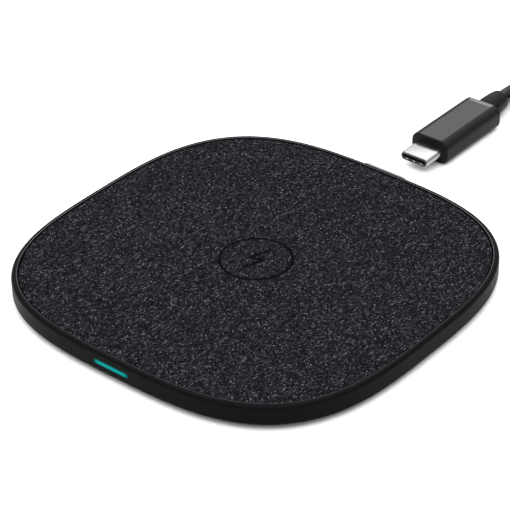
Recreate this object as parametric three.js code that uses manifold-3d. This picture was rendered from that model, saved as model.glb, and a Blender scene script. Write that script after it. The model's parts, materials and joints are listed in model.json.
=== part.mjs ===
// A square wireless charging pad with rounded sides, and the USB-C to USB-A cable that feeds it.
//
// Millimetres, +Z up. The origin is on the table, under the middle of the pad. -Y is the front, where
// the light bar is, and +Y is the back, where the cable plugs in. The cable lies ready to be plugged in:
// it slides along -Y by insertTravel until its plug is seated in the port.

import * as THREE from "three";
import { mergeVertices } from "three/addons/utils/BufferGeometryUtils.js";
import Module from "manifold-3d";

const wasm = await Module();
wasm.setup();

// ---------------------------------------------------------------- driving dimensions: the housing

const padWidth = 100;
const padDepth = 100;
const squareness = 3.135; // exponent of the superellipse that the pad is outlined by: 2 is a circle
const outlineSteps = 60; // corners round the outline, a multiple of 4

const footProud = 0.6; // how far the pad stands off the table on its feet
const baseThickness = 1.0;
const flangeThickness = 0.5; // the part of the base that reaches out under the rim
const coilRoom = 0.4; // between the coil and the top plate
const plateThickness = 0.8;
const fabricThickness = 0.4;
const lipAboveFabric = 0.2;

const rimWall = 1.6;
const lipWidth = 1.25; // from the rim's widest outline in to the lip's inner edge
const edgeRadius = 0.95; // rounding of the rim's top outer edge
const bellyRise = 0.9; // height over which the rim's lower edge turns in
const bellyInset = 0.75;
const shelfWidth = 1.55; // the ledge that the top plate lies on
const shelfThickness = 0.4;
const grooveWidth = 0.3; // the dark line between the lip and the fabric
const plateInset = 0.1; // the fabric covers the plate's edge by this much
const baseClearance = 0.15; // between the base and the rim
const flangeInset = 1.3;
const locatingWall = 0.9;
const locatingHeight = 1.8;

// ---------------------------------------------------------------- fasteners and feet

const footDiameter = 9;
const footSunk = 0.4;
const footClearance = 0.15;
const footFromEdge = 20; // from the pad's outline to the foot's centre, along X and along Y
const screwHead = 3.4;
const screwHeadHeight = 0.7;
const screwShank = 1.6;
const screwReach = 2.65; // shank below the head
const screwClearance = 0.2;
const pilotClearance = 0.05;
const postDiameter = 6.6;
const bossDiameter = 4.6;
const postHeight = 0.8; // above the base's floor
const headFloor = 0.65; // plastic left between the screw's head and the top of its post

// ---------------------------------------------------------------- charging coil

const coilOuter = 44;
const coilInner = 20.5;
const coilThickness = 1.3;
const ferriteOverlap = 2; // the ferrite reaches past the coil by this much all round
const ferriteThickness = 0.8;
const cradleThickness = 0.8;
const cradleClearance = 0.4;
const cradleWall = 1.2;
const cradleLip = 0.9; // how far the cradle's wall stands above its floor
const outerLeadX = 4; // the outer lead runs beside the slot
const slotWidth = 2.8; // slot in the ferrite for the wires from the middle
const litzDiameter = 0.6;
const sensorDiameter = 2.4;
const sensorThickness = 1.1;
const sensorWireDiameter = 0.5;

// ---------------------------------------------------------------- electronics

const boardWidth = 44;
const boardThickness = 0.8;
const boardGap = 1.6; // between the cradle and the board, and round the board
const boardScrewHead = 3.0;
const boardScrewHeadHeight = 0.6;
const boardScrewShank = 1.4;
const boardScrewFromEdge = 3.2;
const wireDiameter = 0.8;

const lightWidth = 10.2;
const lightHeight = 1.5;
const lightRise = 0.45; // the light bar's centre, as a share of the rim's visible height
const lightFlange = 1.0; // how far the light guide's flange reaches past the bar
const lightFlangeDepth = 0.7;
const lightClearance = 0.05;
const ledBoardDepth = 3.2;
const ledLength = 2.6;
const ledSpacing = 5;

// ---------------------------------------------------------------- USB-C port and plug

const plugWidth = 8.25;
const plugHeight = 2.4;
const plugLength = 6.65; // from the overmould's face to the tip
const plugWall = 0.3;
const plugSlotDepth = 5.0;
const portClearanceX = 0.045; // between the plug and the port's shell, each side
const portClearanceZ = 0.08;
const portWall = 0.25;
const tongueWidth = 6.7;
const tongueThickness = 0.7;
const tongueLength = 4.6;
const tongueClearance = 0.1;
const portTopRoom = 0.05; // between the port's shell and the top plate
const portBlock = 0.9; // the plastic that closes the back of the port
const portFit = 0.15; // between the port's shell and the rim or the board
const bezelWidth = 13;
const bezelProud = 0.8; // past the rim
const bezelSunk = 0.25; // into the rim
const bezelRoom = 0.35; // between the bezel's hole and the plug
const bezelBottom = 1.0;
const bezelBelowTop = 0.2;
const seatGap = 0.3; // between faces that meet
const insertTravel = 18;

const overmouldWidth = 11.2;
const overmouldHeight = 6.5;
const overmouldLength = 24;
const overmouldRadius = 2.3;
const collarDiameter = 6;
const collarLength = 8;

// ---------------------------------------------------------------- cord, coil and USB-A plug

const cordDiameter = 4;
const cordSides = 10;
const coilCentre = [33, 152];
const coilFirstRadius = 30; // the outermost turn
const coilTurns = 3; // turns side by side
const coilLayers = 2;
const tieWidth = 5;
const tieThickness = 0.7;
const tieRoom = 1.2; // the turns rise this much where they cross the tie

const usbAWidth = 12;
const usbAHeight = 4.5;
const usbALength = 12;
const usbAWall = 0.35;
const usbABodyWidth = 15.6;
const usbABodyHeight = 7.6;
const usbABodyLength = 19;
const usbABodyRadius = 2.2;

// The cord from the USB-C plug's collar to where it joins the coil, and from the coil's last turn to the
// USB-A plug's collar, lying on the table.
const leadPoints = [
  [0, 101.4, 3.25],
  [0, 104.0, 3.2],
  [-0.2, 107.0, 2.9],
  [-0.6, 111.0, 2.35],
  [-1.0, 115.0, 2.05],
  [-1.2, 119.0, 2.0],
  [-1.0, 123.0, 2.0],
  [-0.4, 127.0, 2.0],
  [0.5, 131.0, 2.0],
  [1.4, 135.0, 2.0],
];
const tailPoints = [
  [61, 131.8, 2.95],
  [61, 127.0, 2.3],
  [61, 123.0, 2.05],
  [61, 117.0, 2.02],
  [61, 112.0, 2.2],
  [61, 108.0, 2.8],
  [61, 104.5, 3.5],
  [61, 102.0, 3.8],
  [61, 100.0, 3.8],
];

// ---------------------------------------------------------------- levels and places that follow

const portAxis = overmouldHeight / 2; // the plug lies on the table at the port's own height
const portInnerHeight = plugHeight + 2 * portClearanceZ;
const portOuterHeight = portInnerHeight + 2 * portWall;

const baseBottom = footProud;
const flangeTop = baseBottom + flangeThickness;
const floorTop = baseBottom + baseThickness;
const cradleTop = floorTop + cradleThickness;
const ferriteTop = cradleTop + ferriteThickness;
const coilTop = ferriteTop + coilThickness;
const plateBottom = Math.max(coilTop + coilRoom, portAxis + portOuterHeight / 2 + portTopRoom);
const plateTop = plateBottom + plateThickness;
const fabricTop = plateTop + fabricThickness;
const padTop = fabricTop + lipAboveFabric;
const postTop = floorTop + postHeight;
const footTop = baseBottom + footSunk;
const headTop = postTop - headFloor;

const fabricInset = lipWidth + grooveWidth;
const baseInset = rimWall + baseClearance;
const wallFace = baseInset + locatingWall; // inner face of the base's locating wall
const ferriteRadius = coilOuter / 2 + ferriteOverlap;
const cradleInner = ferriteRadius + cradleClearance;
const cradleRadius = cradleInner + cradleWall;

const footX = padWidth / 2 - footFromEdge;
const footY = padDepth / 2 - footFromEdge;
const corners = { front_left: [-1, -1], front_right: [1, -1], back_left: [-1, 1], back_right: [1, 1] };

const backFace = padDepth / 2;
const bezelBack = backFace + bezelProud;
const seatedFace = bezelBack + seatGap; // the overmould's face when the plug is home
const seatedTip = seatedFace - plugLength;
const portInnerWidth = plugWidth + 2 * portClearanceX;
const portOuterWidth = portInnerWidth + 2 * portWall;
const blockFront = seatedTip - seatGap;
const portBack = blockFront - portBlock;
const portFront = backFace - bezelSunk - portFit;

const boardTop = portAxis;
const boardBottom = boardTop - boardThickness;
const boardFront = cradleRadius + boardGap;
const boardRear = padDepth / 2 - wallFace - 0.35 * boardGap;
const partsRow = boardRear - 5.2; // the row of parts each side of the port
const boardScrewX = boardWidth / 2 - boardScrewFromEdge;
const boardScrewY = boardRear - boardScrewFromEdge;

const visibleBottom = flangeTop + bellyRise / 2;
const lightAxis = visibleBottom + lightRise * (padTop - visibleBottom);
const frontInner = -(padDepth / 2 - rimWall);
const ledBoardTop = lightAxis - 0.55;
const ledBoardFront = frontInner + lightFlangeDepth + 0.35;

const restTip = seatedTip + insertTravel;
const restFace = restTip + plugLength;
const restRear = restFace + overmouldLength;

// ---------------------------------------------------------------- solids

/** A closed geometry as a manifold-3d solid, with its faces turned to point out. */
function solid(geometry) {
  const bare = geometry.index ? geometry.toNonIndexed() : geometry.clone();
  bare.deleteAttribute("normal");
  bare.deleteAttribute("uv");
  const merged = mergeVertices(bare, 1e-4);
  const corner = merged.index.array;
  const kept = [];
  for (let i = 0; i < corner.length; i += 3) {
    const [a, b, c] = corner.slice(i, i + 3);
    if (a !== b && b !== c && c !== a) kept.push(a, b, c);
  }
  const made = (triVerts) =>
    new wasm.Manifold(
      new wasm.Mesh({
        numProp: 3,
        vertProperties: merged.attributes.position.array,
        triVerts: new Uint32Array(triVerts),
      }),
    );
  const first = made(kept);
  return first.volume() > 0 ? first : made(kept.reverse());
}

/** A manifold-3d solid as a geometry with flat faces. */
function geometryOf(body) {
  const mesh = body.getMesh();
  const geometry = new THREE.BufferGeometry();
  geometry.setAttribute("position", new THREE.BufferAttribute(new Float32Array(mesh.vertProperties), 3));
  geometry.setIndex(new THREE.BufferAttribute(new Uint32Array(mesh.triVerts), 1));
  const flat = geometry.toNonIndexed();
  flat.computeVertexNormals();
  return flat;
}

const join = (...bodies) => bodies.reduce((all, body) => all.add(body));
const cut = (body, ...tools) => tools.reduce((left, tool) => left.subtract(tool), body);

function box(x0, x1, y0, y1, z0, z1) {
  const geometry = new THREE.BoxGeometry(x1 - x0, y1 - y0, z1 - z0);
  return solid(geometry.translate((x0 + x1) / 2, (y0 + y1) / 2, (z0 + z1) / 2));
}

function extrude(shape, z0, z1, options = {}) {
  const settings = { depth: z1 - z0, bevelEnabled: false, curveSegments: 2, ...options };
  return new THREE.ExtrudeGeometry(shape, settings).translate(0, 0, z0);
}

/** Extrudes a shape drawn in X and Z along +Y, from y0 to y1. */
function extrudeAlongY(shape, y0, y1, options = {}) {
  return solid(extrude(shape, -y1, -y0, options).rotateX(Math.PI / 2));
}

/** Extrudes a shape drawn in Y and Z along +X, from x0 to x1. */
function extrudeAlongX(shape, x0, x1) {
  const turn = new THREE.Matrix4().makeBasis(
    new THREE.Vector3(0, 1, 0),
    new THREE.Vector3(0, 0, 1),
    new THREE.Vector3(1, 0, 0),
  );
  return solid(extrude(shape, x0, x1).applyMatrix4(turn));
}

/** Spins a profile of [radius, z] pairs round the Z axis. */
function spun(profile, segments) {
  const points = profile.map(([r, z]) => new THREE.Vector2(r, z));
  return new THREE.LatheGeometry(points, segments).rotateX(Math.PI / 2);
}

function cylinder(diameter, z0, z1, segments = 20) {
  const r = diameter / 2;
  return solid(spun([[0, z0], [r, z0], [r, z1], [0, z1]], segments));
}

function roundedRectangle(width, height, radius, cx = 0, cy = 0) {
  const x = width / 2 - radius;
  const y = height / 2 - radius;
  const quarter = Math.PI / 2;
  const shape = new THREE.Shape();
  shape.absarc(cx + x, cy - y, radius, -quarter, 0);
  shape.absarc(cx + x, cy + y, radius, 0, quarter);
  shape.absarc(cx - x, cy + y, radius, quarter, 2 * quarter);
  shape.absarc(cx - x, cy - y, radius, 2 * quarter, 3 * quarter);
  return shape;
}

/** How far out the superellipse lies at an angle, where a circle of the same size is 1. */
function squareFactor(angle) {
  const powers = Math.abs(Math.cos(angle)) ** squareness + Math.abs(Math.sin(angle)) ** squareness;
  return powers ** (-1 / squareness);
}

function outlinePoint(angle, inset) {
  const k = squareFactor(angle);
  return [(padWidth / 2 - inset) * k * Math.cos(angle), (padDepth / 2 - inset) * k * Math.sin(angle)];
}

function outlineShape(inset) {
  const points = [];
  for (let i = 0; i < outlineSteps; i++) {
    points.push(new THREE.Vector2(...outlinePoint((2 * Math.PI * i) / outlineSteps, inset)));
  }
  return new THREE.Shape(points);
}

/** A plate with the pad's outline, inset from its edge. */
const plate = (inset, z0, z1) => solid(extrude(outlineShape(inset), z0, z1));

/** A ring that follows the pad's outline, from a closed section of [inset, z] pairs. */
function outlineRing(section) {
  const geometry = spun([...section, section[0]].map(([inset, z]) => [padWidth / 2 - inset, z]), outlineSteps);
  const position = geometry.attributes.position;
  for (let i = 0; i < position.count; i++) {
    const inset = padWidth / 2 - Math.hypot(position.getX(i), position.getY(i));
    const angle = Math.atan2(position.getY(i), position.getX(i));
    const [x, y] = outlinePoint(angle, inset);
    position.setXY(i, x, y);
  }
  return solid(geometry);
}

/** A round wire or cord along a smooth curve through the points. */
function tube(points, diameter, sides, steps) {
  const section = new THREE.Shape();
  for (let i = 0; i < sides; i++) {
    const angle = (2 * Math.PI * (i + 0.5)) / sides;
    const x = (diameter / 2) * Math.cos(angle);
    const y = (diameter / 2) * Math.sin(angle);
    if (i) section.lineTo(x, y);
    else section.moveTo(x, y);
  }
  const curve = new THREE.CatmullRomCurve3(points.map((p) => new THREE.Vector3(...p)), false, "centripetal");
  return solid(new THREE.ExtrudeGeometry(section, { extrudePath: curve, steps, bevelEnabled: false }));
}

// ---------------------------------------------------------------- materials

const finish = (color, roughness, metalness = 0) => ({ color, roughness, metalness });
const finishes = {
  fabric: finish(0x27282c, 0.95),
  rimPlastic: finish(0x161719, 0.35),
  basePlastic: finish(0x1c1d20, 0.6),
  innerPlastic: finish(0x2a2b2e, 0.55),
  silicone: finish(0x202124, 0.8),
  diffuser: finish(0x14a8a4, 0.3),
  led: finish(0xf2efe0, 0.4),
  board: finish(0x14532f, 0.45),
  chip: finish(0x111214, 0.4),
  ceramic: finish(0xa98f6c, 0.5),
  ferrite: finish(0x33353a, 0.7),
  copper: finish(0xb8703a, 0.35, 0.9),
  steel: finish(0xc4c7cb, 0.25, 1),
  blackSteel: finish(0x2b2c2e, 0.35, 1),
  bezel: finish(0x6d7075, 0.3),
  wire: finish(0xa01818, 0.5),
  overmould: finish(0x3a3b3d, 0.5),
  cordJacket: finish(0x0d0e12, 0.25),
  insert: finish(0x0b0c0d, 0.5),
  insulator: finish(0xe6e6e2, 0.5),
};

const part = new THREE.Group();

/** Adds one named piece to the part. */
function piece(name, body, finishName) {
  const mesh = new THREE.Mesh(geometryOf(body), new THREE.MeshStandardMaterial(finishes[finishName]));
  mesh.name = name;
  part.add(mesh);
}

// ---------------------------------------------------------------- housing

/** Points of a quarter round between two directions, for the rim's section. */
function roundOff(inset, z, radiusIn, radiusUp, from, to, steps) {
  const points = [];
  for (let i = 0; i <= steps; i++) {
    const angle = from + ((to - from) * i) / steps;
    points.push([inset + radiusIn * Math.cos(angle), z + radiusUp * Math.sin(angle)]);
  }
  return points;
}

function rimFrame() {
  const half = Math.PI / 2;
  const belly = roundOff(bellyInset, flangeTop + bellyRise, bellyInset, bellyRise, 3 * half, 2 * half, 3);
  const edge = roundOff(edgeRadius, padTop - edgeRadius, edgeRadius, edgeRadius, 2 * half, half, 4);
  const inner = [
    [lipWidth, padTop],
    [lipWidth, plateBottom],
    [lipWidth + shelfWidth, plateBottom],
    [lipWidth + shelfWidth, plateBottom - shelfThickness],
    [rimWall, plateBottom - shelfThickness - 0.3],
    [rimWall, flangeTop],
  ];
  const ring = outlineRing([...belly, ...edge, ...inner]);
  const outside = padDepth;
  const portHole = roundedRectangle(
    portOuterWidth + 2 * portFit,
    portOuterHeight + 2 * portFit,
    portOuterHeight / 2,
    0,
    portAxis,
  );
  const bezelHalf = bezelWidth / 2 + portFit;
  const shelfUnder = plateBottom - shelfThickness - 0.3;
  const portHalf = portOuterWidth / 2 + portFit;
  const lightHalf = lightWidth / 2 + lightFlange + portFit;
  const shelfEdge = lipWidth + shelfWidth + 0.5;
  return cut(
    ring,
    extrudeAlongY(portHole, backFace - rimWall - 0.5, outside),
    box(-bezelHalf, bezelHalf, backFace - bezelSunk - lightClearance, outside, 0, padTop + 1),
    box(-portHalf, portHalf, backFace - shelfEdge, backFace - rimWall, shelfUnder - 0.2, plateBottom),
    box(-lightHalf, lightHalf, frontInner, -padDepth / 2 + shelfEdge, shelfUnder - 0.2, plateBottom),
    extrudeAlongY(lightShape(lightClearance), -outside, frontInner + 0.2),
  );
}

function lightShape(room) {
  const height = lightHeight + 2 * room;
  return roundedRectangle(lightWidth + 2 * room, height, height / 2 - 0.05, 0, lightAxis);
}

function baseCover() {
  const flange = join(
    plate(flangeInset + 0.3, baseBottom, baseBottom + flangeThickness / 2),
    plate(flangeInset, baseBottom + flangeThickness / 2, flangeTop),
  );
  const lightHalf = lightWidth / 2 + lightFlange + 2 * portFit;
  const portHalf = portOuterWidth / 2 + 4 * portFit;
  const tray = cut(
    plate(baseInset, flangeTop, floorTop + locatingHeight),
    plate(wallFace, floorTop, padTop),
    box(-lightHalf, lightHalf, -padDepth, 0, floorTop, padTop),
    box(-portHalf, portHalf, 0, padDepth, floorTop, padTop),
  );
  const posts = [];
  const holes = [];
  for (const [sx, sy] of Object.values(corners)) {
    const place = [sx * footX, sy * footY, 0];
    posts.push(cylinder(postDiameter, floorTop - 0.2, postTop).translate(place));
    holes.push(cylinder(footDiameter + 2 * footClearance, 0, footTop, 24).translate(place));
    holes.push(cylinder(screwHead + 2 * screwClearance, footTop - 0.1, headTop).translate(place));
    holes.push(cylinder(screwShank + 2 * screwClearance, headTop - 0.1, postTop + 0.1, 12).translate(place));
  }
  for (const side of [-1, 1]) {
    const place = [side * boardScrewX, boardScrewY, 0];
    const pilot = boardScrewShank + 2 * pilotClearance;
    posts.push(cylinder(boardScrewHead + 1, floorTop - 0.2, boardBottom, 16).translate(place));
    holes.push(cylinder(pilot, floorTop - 0.4, boardBottom + 0.1, 12).translate(place));
  }
  posts.push(ledShelf());
  return cut(join(flange, tray, ...posts), ...holes);
}

/** The ledge on the base that carries the small light board. */
function ledShelf() {
  const half = lightWidth / 2 + 0.6;
  return box(-half, half, ledBoardFront, ledBoardFront + ledBoardDepth, floorTop - 0.2, ledBoardTop - boardThickness);
}

function topPlate() {
  const bosses = [];
  const pilots = [];
  for (const [sx, sy] of Object.values(corners)) {
    const place = [sx * footX, sy * footY, 0];
    const pilotTop = headTop + screwReach + 0.2;
    bosses.push(cylinder(bossDiameter, postTop, plateBottom + 0.2, 20).translate(place));
    pilots.push(cylinder(screwShank + 2 * pilotClearance, postTop - 0.1, pilotTop, 12).translate(place));
  }
  return cut(join(plate(fabricInset + plateInset, plateBottom, plateTop), ...bosses), ...pilots);
}

function housingScrew() {
  const headBottom = headTop - screwHeadHeight;
  const profile = [
    [0, headBottom],
    [screwHead / 2 - 0.2, headBottom],
    [screwHead / 2, headBottom + 0.2],
    [screwHead / 2, headTop],
    [screwShank / 2, headTop],
    [screwShank / 2, headTop + screwReach - 0.5],
    [screwShank / 4, headTop + screwReach],
    [0, headTop + screwReach],
  ];
  return driven(solid(spun(profile, 12)), headBottom, 1);
}

/** Cuts a cross for the screwdriver into a head whose face is at z; up is 1 if the metal is above it. */
function driven(body, z, up, span = 1.9) {
  const depth = 0.35;
  const low = up > 0 ? z - 0.1 : z - depth;
  const high = up > 0 ? z + depth : z + 0.1;
  const arm = span / 2;
  return cut(body, box(-arm, arm, -0.2, 0.2, low, high), box(-0.2, 0.2, -arm, arm, low, high));
}

function foot() {
  const r = footDiameter / 2;
  return solid(spun([[0, 0], [r - 0.25, 0], [r, 0.25], [r, footTop], [0, footTop]], 24));
}

function housing() {
  piece("rim_frame", rimFrame(), "rimPlastic");
  piece("base_cover", baseCover(), "basePlastic");
  piece("top_plate", topPlate(), "innerPlastic");
  piece("fabric_cover", plate(fabricInset, plateTop, fabricTop), "fabric");
  for (const [corner, [sx, sy]] of Object.entries(corners)) {
    const place = [sx * footX, sy * footY, 0];
    piece(`foot_${corner}`, foot().translate(place), "silicone");
    piece(`housing_screw_${corner}`, housingScrew().translate(place), "steel");
  }
}

// ---------------------------------------------------------------- charging coil

function coilCradle() {
  const profile = [
    [0, floorTop],
    [cradleRadius, floorTop],
    [cradleRadius, cradleTop + cradleLip],
    [cradleInner, cradleTop + cradleLip],
    [cradleInner, cradleTop],
    [0, cradleTop],
  ];
  const gate = box(-slotWidth / 2 - 0.4, outerLeadX + 1.2, 0, cradleRadius + 1, cradleTop, padTop);
  return cut(solid(spun(profile, 40)), gate);
}

/** The ferrite disc, open in the middle for the sensor and slotted for the wires. */
function ferriteShield() {
  const slot = box(-slotWidth / 2, slotWidth / 2, 0, ferriteRadius + 1, cradleTop - 1, padTop);
  const hole = cylinder(coilInner - 2, cradleTop - 1, padTop, 32);
  return cut(cylinder(2 * ferriteRadius, cradleTop, ferriteTop, 40), slot, hole);
}

function chargingCoil() {
  const [inner, outer] = [coilInner / 2, coilOuter / 2];
  const profile = [
    [inner, ferriteTop],
    [outer, ferriteTop],
    [outer, coilTop],
    [inner, coilTop],
    [inner, ferriteTop],
  ];
  return solid(spun(profile, 40));
}

/** Points from the ferrite's edge up onto the main board, for a wire that lies low in the cradle. */
function riseToBoard(x, low, diameter) {
  const high = boardTop + 0.08 + diameter / 2;
  const from = ferriteRadius - 1;
  const run = boardFront - 0.4 - from;
  const eased = [0, 0.25, 0.5, 0.75, 1].map((t) => [x, from + run * t, low + (high - low) * t * t * (3 - 2 * t)]);
  return [...eased, [x, boardFront + 2.4, high]];
}

/** A wire from the middle of the coil, under it through the ferrite's slot, to the main board. */
function wireFromMiddle(x, diameter, startY, startZ) {
  const low = cradleTop + 0.1 + diameter / 2;
  const points = [
    [x, startY, startZ],
    [x, startY - 0.1, (startZ + low) / 2],
    [x, startY + 0.9, low + 0.03],
    [x, startY + 3, low],
    ...riseToBoard(x, low, diameter),
  ];
  return tube(points, diameter, 8, 18);
}

function outerLead() {
  const x = outerLeadX;
  const z = boardTop + 0.05 + litzDiameter / 2;
  const start = Math.sqrt((coilOuter / 2) ** 2 - x ** 2) + 0.35;
  return tube([[x, start, z], [x, (start + boardFront) / 2, z + 0.15], [x, boardFront + 2.4, z]], litzDiameter, 8, 6);
}

function temperatureSensor() {
  return cylinder(sensorDiameter, cradleTop + 0.05, cradleTop + 0.05 + sensorThickness, 20);
}

function coilAssembly() {
  piece("coil_cradle", coilCradle(), "innerPlastic");
  piece("ferrite_shield", ferriteShield(), "ferrite");
  piece("charging_coil", chargingCoil(), "copper");
  const innerY = coilInner / 2 - litzDiameter - 0.6;
  piece("coil_lead_inner", wireFromMiddle(-0.7, litzDiameter, innerY, ferriteTop + 0.6), "copper");
  piece("coil_lead_outer", outerLead(), "copper");
  piece("temperature_sensor", temperatureSensor(), "chip");
  piece("sensor_wire", sensorWire(), "wire");
}

function sensorWire() {
  const x = 0.75;
  const d = sensorWireDiameter;
  const low = cradleTop + 0.1 + d / 2;
  const points = [[x, sensorDiameter / 2 + 0.1, low + 0.1], [x, coilInner / 2, low], ...riseToBoard(x, low, d)];
  return tube(points, d, 6, 14);
}

// ---------------------------------------------------------------- electronics

function mainBoard() {
  const half = boardWidth / 2;
  const notch = portOuterWidth / 2 + portFit;
  const holes = [-1, 1].map((side) =>
    cylinder(boardScrewShank + 0.4, 0, padTop, 12).translate([side * boardScrewX, boardScrewY, 0]),
  );
  const blank = box(-half, half, boardFront, boardRear, boardBottom, boardTop);
  return cut(
    blank.intersect(plate(wallFace + 0.35 * boardGap, 0, padTop)),
    box(-notch, notch, portBack - portFit, boardRear + 1, 0, padTop),
    ...holes,
  );
}

function boardScrew() {
  const top = boardTop + boardScrewHeadHeight;
  const tip = floorTop - 0.3;
  const profile = [
    [0, tip],
    [boardScrewShank / 2, tip],
    [boardScrewShank / 2, boardTop],
    [boardScrewHead / 2, boardTop],
    [boardScrewHead / 2, top - 0.15],
    [boardScrewHead / 2 - 0.15, top],
    [0, top],
  ];
  return driven(solid(spun(profile, 12)), top, -1, 1.6);
}

/** A flat part on the main board, centred on x and y. */
function boardPart(x, y, width, depth, height) {
  return box(x - width / 2, x + width / 2, y - depth / 2, y + depth / 2, boardTop, boardTop + height);
}

function powerInductor() {
  const x = -13.6;
  const base = boardPart(x, partsRow, 4.4, 4.4, 0.5);
  const core = cylinder(4.0, boardTop + 0.5, boardTop + 1.3, 20).translate([x, partsRow, 0]);
  return join(base, core);
}

function mainElectronics() {
  piece("main_board", mainBoard(), "board");
  [["left", -1], ["right", 1]].forEach(([name, side]) => {
    piece(`board_screw_${name}`, boardScrew().translate([side * boardScrewX, boardScrewY, 0]), "blackSteel");
  });
  piece("controller_chip", boardPart(8.2, partsRow, 5, 5, 0.9), "chip");
  piece("coil_driver_chip", boardPart(-8.2, partsRow, 4, 4, 0.85), "chip");
  piece("power_inductor", powerInductor(), "ferrite");
  for (let i = 0; i < 4; i++) {
    const row = i % 2;
    const column = Math.floor(i / 2);
    const place = [12.6 + 2.4 * column, partsRow - 1.75 + 3.5 * row];
    piece(`resonant_capacitor_${i + 1}`, boardPart(...place, 1.6, 3.2, 1.2), "ceramic");
  }
}

function portShell() {
  const outer = roundedRectangle(portOuterWidth, portOuterHeight, portOuterHeight / 2 - 0.02, 0, portAxis);
  const inner = roundedRectangle(portInnerWidth, portInnerHeight, portInnerHeight / 2 - 0.02, 0, portAxis);
  return cut(extrudeAlongY(outer, portBack, portFront), extrudeAlongY(inner, portBack - 1, portFront + 1));
}

function portTongue() {
  const slack = 0.04;
  const block = roundedRectangle(
    portInnerWidth - 2 * slack,
    portInnerHeight - 2 * slack,
    portInnerHeight / 2 - slack - 0.02,
    0,
    portAxis,
  );
  const half = tongueThickness / 2;
  const tongue = box(
    -tongueWidth / 2,
    tongueWidth / 2,
    portBack + 0.1,
    blockFront + tongueLength,
    portAxis - half,
    portAxis + half,
  );
  return join(extrudeAlongY(block, portBack, blockFront), tongue);
}

function portBezel() {
  const top = padTop - bezelBelowTop;
  const height = top - bezelBottom;
  const outer = roundedRectangle(bezelWidth, height, 1.2, 0, bezelBottom + height / 2);
  const holeHeight = plugHeight + 2 * bezelRoom;
  const hole = roundedRectangle(plugWidth + 2 * bezelRoom, holeHeight, holeHeight / 2 - 0.02, 0, portAxis);
  return cut(
    extrudeAlongY(outer, backFace - bezelSunk, bezelBack),
    extrudeAlongY(hole, backFace - 2, bezelBack + 1),
  );
}

function port() {
  piece("port_shell", portShell(), "steel");
  piece("port_tongue", portTongue(), "insert");
  piece("port_bezel", portBezel(), "bezel");
}

function lightGuide() {
  const flangeBottom = lightAxis - lightHeight / 2 - lightFlange / 2;
  const flangeTopZ = plateBottom - shelfThickness - 0.35;
  const half = lightWidth / 2 + lightFlange;
  const bar = extrudeAlongY(lightShape(0), -padDepth / 2 - 0.02, frontInner + 0.2);
  const flange = box(-half, half, frontInner + 0.05, frontInner + lightFlangeDepth, flangeBottom, flangeTopZ);
  return join(bar, flange);
}

/** A light emitter standing on the light board, facing the light guide. */
function emitter(side) {
  const x = (side * ledSpacing) / 2;
  const y = ledBoardFront + 0.2;
  return box(x - ledLength / 2, x + ledLength / 2, y, y + 0.8, ledBoardTop, ledBoardTop + 1);
}

function ledBoard() {
  const half = lightWidth / 2 + 0.4;
  return box(-half, half, ledBoardFront, ledBoardFront + ledBoardDepth, ledBoardTop - boardThickness, ledBoardTop);
}

/** A wire from the light board, round the left or right of the cradle, to the main board. */
function ledWire(side) {
  const r = wireDiameter / 2;
  const round = cradleRadius + 1.6;
  const low = floorTop + 0.2 + r;
  const boardZ = ledBoardTop + 0.05 + r;
  const points = [
    [side * 3, ledBoardFront + ledBoardDepth - 0.8, boardZ],
    [side * 3, ledBoardFront + ledBoardDepth + 0.6, boardZ],
    [side * 3.6, ledBoardFront + ledBoardDepth + 3, (boardZ + low) / 2],
    [side * 5.5, (ledBoardFront + ledBoardDepth - round) / 2 - 2, low],
  ];
  for (let degrees = 60; degrees >= -40; degrees -= 20) {
    const angle = (degrees * Math.PI) / 180;
    points.push([side * round * Math.cos(angle), -round * Math.sin(angle), low]);
  }
  const end = boardTop + 0.05 + r;
  points.push([side * (boardWidth / 2 - 2.2), boardFront - 2.6, (low + end) / 2]);
  points.push([side * (boardWidth / 2 - 3), boardFront - 0.6, end + 0.1]);
  points.push([side * (boardWidth / 2 - 3), boardFront + 2.2, end]);
  return tube(points, wireDiameter, 6, 30);
}

function light() {
  piece("led_light_guide", lightGuide(), "diffuser");
  piece("led_board", ledBoard(), "board");
  piece("led_left", emitter(-1), "led");
  piece("led_right", emitter(1), "led");
  piece("led_wire_left", ledWire(-1), "wire");
  piece("led_wire_right", ledWire(1), "wire");
}

// ---------------------------------------------------------------- cable

function usbCShell() {
  const outer = roundedRectangle(plugWidth, plugHeight, plugHeight / 2 - 0.02, 0, portAxis);
  const width = plugWidth - 2 * plugWall;
  const height = plugHeight - 2 * plugWall;
  const inner = roundedRectangle(width, height, height / 2 - 0.02, 0, portAxis);
  return cut(extrudeAlongY(outer, restTip, restFace), extrudeAlongY(inner, restTip - 1, restFace + 1));
}

function usbCInsert() {
  const slack = 0.04;
  const width = plugWidth - 2 * (plugWall + slack);
  const height = plugHeight - 2 * (plugWall + slack);
  const body = extrudeAlongY(
    roundedRectangle(width, height, height / 2 - 0.02, 0, portAxis),
    restTip + 0.1,
    restFace,
  );
  const half = tongueThickness / 2 + tongueClearance;
  const side = tongueWidth / 2 + tongueClearance;
  return cut(body, box(-side, side, restTip - 1, restTip + plugSlotDepth, portAxis - half, portAxis + half));
}

/** A moulded plug body along Y with softened ends. */
function mouldedBody(width, height, radius, y0, y1, axis) {
  const bevel = 0.8;
  const shape = roundedRectangle(width, height, radius, 0, axis);
  const options = {
    bevelEnabled: true,
    bevelThickness: bevel,
    bevelSize: bevel,
    bevelOffset: -bevel,
    bevelSegments: 2,
    curveSegments: 3,
  };
  return extrudeAlongY(shape, y0 + bevel, y1 - bevel, options);
}

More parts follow.
